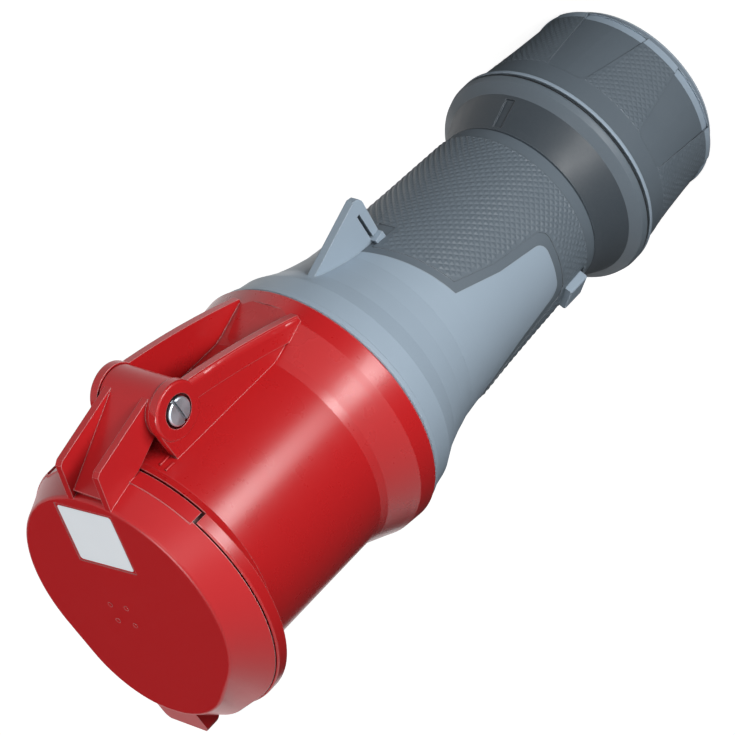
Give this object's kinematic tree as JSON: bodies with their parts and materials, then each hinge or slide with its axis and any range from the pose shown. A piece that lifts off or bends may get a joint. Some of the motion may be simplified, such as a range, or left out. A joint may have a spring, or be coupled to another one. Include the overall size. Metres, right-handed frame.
{
  "type": "industrial cable coupler",
  "caption": "Red and grey industrial cable coupler with sprung hinged lid over a round pin socket, dark ribbed grip and a cable gland nut.",
  "frame": {"origin": "centre of the cable entry, in the rear plane of the gland nut", "axes": "+Z along the coupler's axis towards the lid, -Y towards the lid's hinge"},
  "size_m": [0.0986, 0.1251, 0.28],
  "materials": {
    "red_shell": "satin",
    "red_lid": "satin",
    "light_grey": "satin",
    "dark_grip": "matte",
    "black_rubber": "matte",
    "steel": "satin",
    "brass": "satin",
    "insulator": "matte"
  },
  "bodies": {
    "housing": {"front_housing": "red_shell", "hinge_pin": "steel", "hinge_nut": "steel", "lid_spring": "steel", "contact_carrier": "insulator", "terminal_block": "insulator", "contact_earth": "brass", "contact_l1": "brass", "contact_l2": "brass", "contact_l3": "brass", "contact_neutral": "brass", "contact_pilot": "brass", "terminal_screws": "steel", "contact_plate": "insulator", "plate_screws": "steel", "rear_housing": "light_grey", "grip_cover": "dark_grip", "housing_gasket": "black_rubber", "gland_seal": "black_rubber", "clamp_cage": "light_grey"},
    "lid": {"lid": "red_lid", "lid_gasket": "black_rubber"},
    "lock": {"gland_lock": "light_grey"},
    "slip_ring": {"gland_ring": "light_grey"},
    "nut": {"gland_nut": "light_grey", "nut_grip": "dark_grip"}
  },
  "joints": [
    {"name": "lid_hinge", "type": "hinge", "parent": "housing", "child": "lid", "pos_m": [0, -0.0548, 0.2458], "axis": [1, 0, 0], "range_deg": [0, 110], "stiffness_Nm_per_rad": 0.06, "springref_deg": -63.03, "deforming": ["lid_spring"]},
    {"name": "gland_advance", "type": "slide", "parent": "housing", "child": "slip_ring", "axis": [0, 0, 1], "range_m": [-0.0081, 0.0006]},
    {"name": "gland_turn", "type": "hinge", "parent": "slip_ring", "child": "nut", "pos_m": [0, 0, 0], "axis": [0, 0, 1], "range_deg": [-720, 50]},
    {"name": "lock_slide", "type": "slide", "parent": "housing", "child": "lock", "axis": [0, 0, 1], "range_m": [-0.002, 0.001]}
  ],
  "couplings": [
    {"joint": "gland_advance", "follows": "gland_turn", "m_per_rad": 0.00063662}
  ]
}
